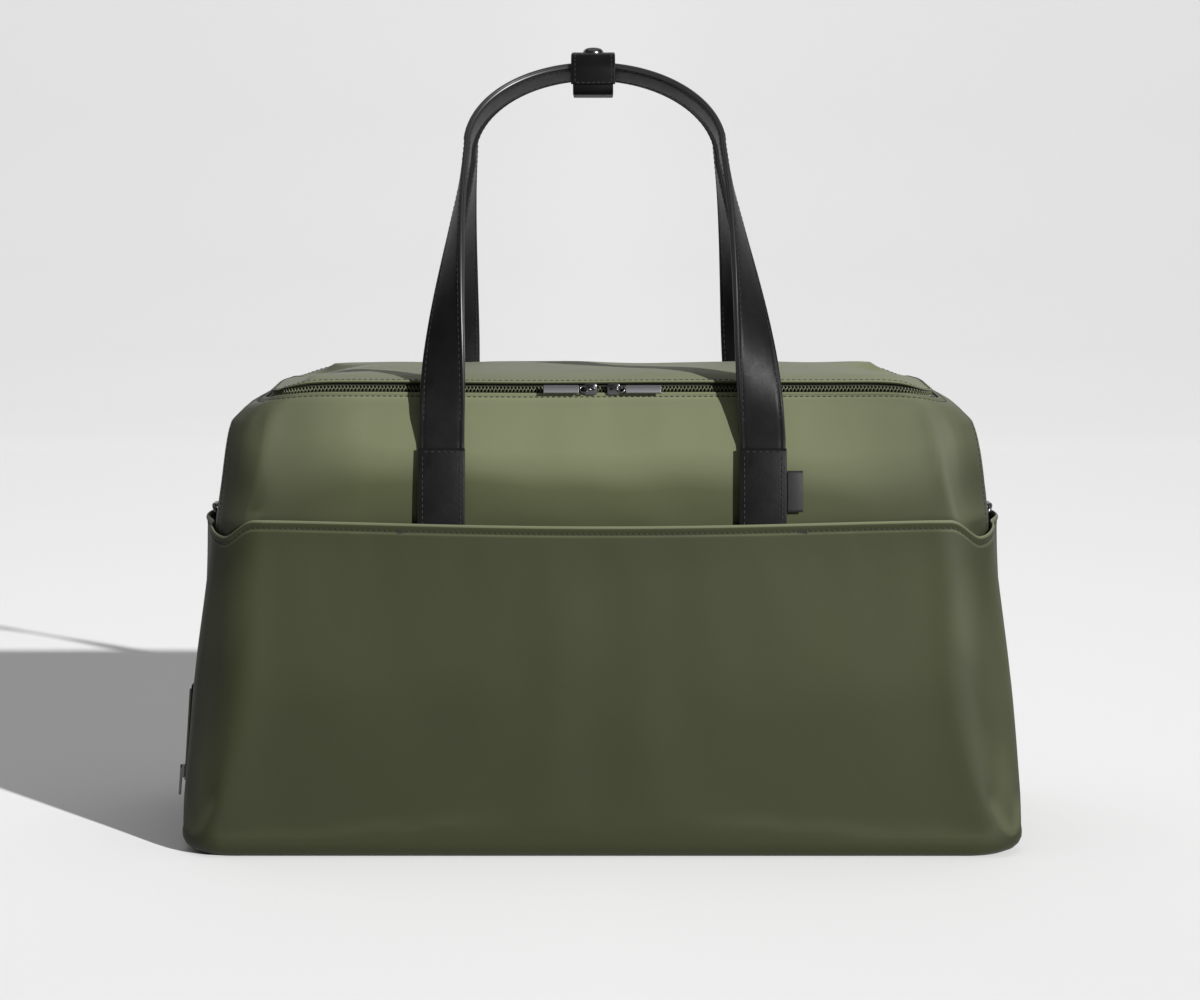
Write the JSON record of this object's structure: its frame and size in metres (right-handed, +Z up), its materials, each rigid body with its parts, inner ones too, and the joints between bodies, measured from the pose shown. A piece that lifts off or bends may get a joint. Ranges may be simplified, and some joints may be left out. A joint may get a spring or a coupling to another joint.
{
  "type": "weekender bag",
  "caption": "Soft nylon weekender bag with outer slip pockets, a zipped top flap, leather handles held by a snap wrap, and a D-ring at each end.",
  "frame": {"origin": "middle of the base, on the floor", "axes": "+X along the bag towards the end on the right of the front, -Y out of the front, +Z up"},
  "size_m": [0.5475, 0.2791, 0.5171],
  "materials": {
    "shell_nylon": "fine twill nylon, soft satin",
    "binding_nylon": "folded nylon binding, soft satin",
    "lining_cloth": "smooth woven lining, matt",
    "foam": "closed cell foam, matt",
    "board": "stiff base board, matt",
    "thread": "twisted polyester thread",
    "zip_tape": "woven zip tape",
    "zip_teeth": "coil zip teeth, satin",
    "zip_metal": "dark gunmetal plating, satin",
    "gunmetal": "gunmetal plating, polished",
    "black_leather": "smooth black leather with painted edges",
    "tag_rubber": "black rubberised tag, matt",
    "webbing": "black woven webbing"
  },
  "bodies": {
    "root": {"bottom_panel": "shell_nylon", "base_board": "board", "base_lining": "lining_cloth", "front_panel": "shell_nylon", "back_panel": "shell_nylon", "left_end_panel": "shell_nylon", "right_end_panel": "shell_nylon", "wall_foam": "foam", "wall_lining": "lining_cloth", "inner_pocket": "lining_cloth", "inner_pocket_binding": "binding_nylon", "front_pocket": "shell_nylon", "front_pocket_hem": "binding_nylon", "back_pocket": "shell_nylon", "back_pocket_hem": "binding_nylon", "left_side_pocket": "shell_nylon", "left_side_hem": "binding_nylon", "right_side_pocket": "shell_nylon", "right_side_hem": "binding_nylon", "pocket_bar_tacks": "thread", "trolley_sleeve": "shell_nylon", "trolley_sleeve_binding": "binding_nylon", "zip_tape_body": "zip_tape", "zip_teeth_body": "zip_teeth", "zip_end_stops": "zip_metal", "end_zip_tape": "zip_tape", "end_zip_teeth": "zip_teeth", "front_left_patch": "black_leather", "front_right_patch": "black_leather", "rear_left_patch": "black_leather", "rear_right_patch": "black_leather", "side_tag": "tag_rubber", "left_ring_tab": "webbing", "right_ring_tab": "webbing"},
    "lid": {"top_panel": "shell_nylon", "top_lining": "lining_cloth", "zip_tape_top": "zip_tape", "zip_teeth_top": "zip_teeth"},
    "front_handle": {"front_strap_face": "black_leather", "front_strap_backing": "black_leather", "wrap_band": "black_leather"},
    "rear_handle": {"rear_strap_face": "black_leather", "rear_strap_backing": "black_leather", "snap_stud": "gunmetal"},
    "flap": {"wrap_flap": "black_leather", "snap_cap": "gunmetal", "snap_socket": "gunmetal"},
    "left_slider_body": {"left_slider": "zip_metal"},
    "left_pull_body": {"left_pull": "zip_metal"},
    "right_slider_body": {"right_slider": "zip_metal"},
    "right_pull_body": {"right_pull": "zip_metal"},
    "end_slider_body": {"end_zip_slider": "zip_metal"},
    "end_pull_body": {"end_zip_pull": "zip_metal"},
    "left_ring_body": {"left_d_ring": "gunmetal"},
    "right_ring_body": {"right_d_ring": "gunmetal"}
  },
  "joints": [
    {"name": "lid_open", "type": "hinge", "parent": "root", "child": "lid", "pos_m": [0, 0.104, 0.2985], "axis": [-1, 0, 0], "range_deg": [0, 105]},
    {"name": "front_handle_drop", "type": "hinge", "parent": "root", "child": "front_handle", "pos_m": [0, -0.11934, 0.2657], "axis": [1, 0, 0], "range_deg": [0, 147]},
    {"name": "rear_handle_drop", "type": "hinge", "parent": "root", "child": "rear_handle", "pos_m": [0, 0.11934, 0.2657], "axis": [-1, 0, 0], "range_deg": [0, 147]},
    {"name": "wrap_flap_open", "type": "hinge", "parent": "front_handle", "child": "flap", "pos_m": [-0.006, -0.0345, 0.51185], "axis": [1, 0, 0], "range_deg": [0, 130]},
    {"name": "left_slider_travel", "type": "slide", "parent": "root", "child": "left_slider_body", "axis": [-1, 0, 0], "range_m": [0, 0.15]},
    {"name": "right_slider_travel", "type": "slide", "parent": "root", "child": "right_slider_body", "axis": [1, 0, 0], "range_m": [0, 0.15]},
    {"name": "left_pull_swing", "type": "hinge", "parent": "left_slider_body", "child": "left_pull_body", "pos_m": [-0.011, -0.11041, 0.298], "axis": [0, -0.9135, 0.4067], "range_deg": [0, 90]},
    {"name": "right_pull_swing", "type": "hinge", "parent": "right_slider_body", "child": "right_pull_body", "pos_m": [0.011, -0.11041, 0.298], "axis": [0, 0.9135, -0.4067], "range_deg": [0, 90]},
    {"name": "end_slider_travel", "type": "slide", "parent": "root", "child": "end_slider_body", "axis": [0.0697, 0, 0.9976], "range_m": [0, 0.045]},
    {"name": "end_pull_swing", "type": "hinge", "parent": "end_slider_body", "child": "end_pull_body", "pos_m": [-0.27509, -0.07916, 0.04915], "axis": [0.9976, 0, -0.0697], "range_deg": [-80, 80]},
    {"name": "left_ring_tilt", "type": "hinge", "parent": "root", "child": "left_ring_body", "pos_m": [-0.25438, 0, 0.201], "axis": [0, 1, 0], "range_deg": [0, 26]},
    {"name": "right_ring_tilt", "type": "hinge", "parent": "root", "child": "right_ring_body", "pos_m": [0.25438, 0, 0.201], "axis": [0, -1, 0], "range_deg": [0, 26]}
  ],
  "couplings": [
    {"joint": "front_handle_drop", "follows": "lid_open", "ratio": 1.4},
    {"joint": "rear_handle_drop", "follows": "lid_open", "ratio": 1.4}
  ]
}
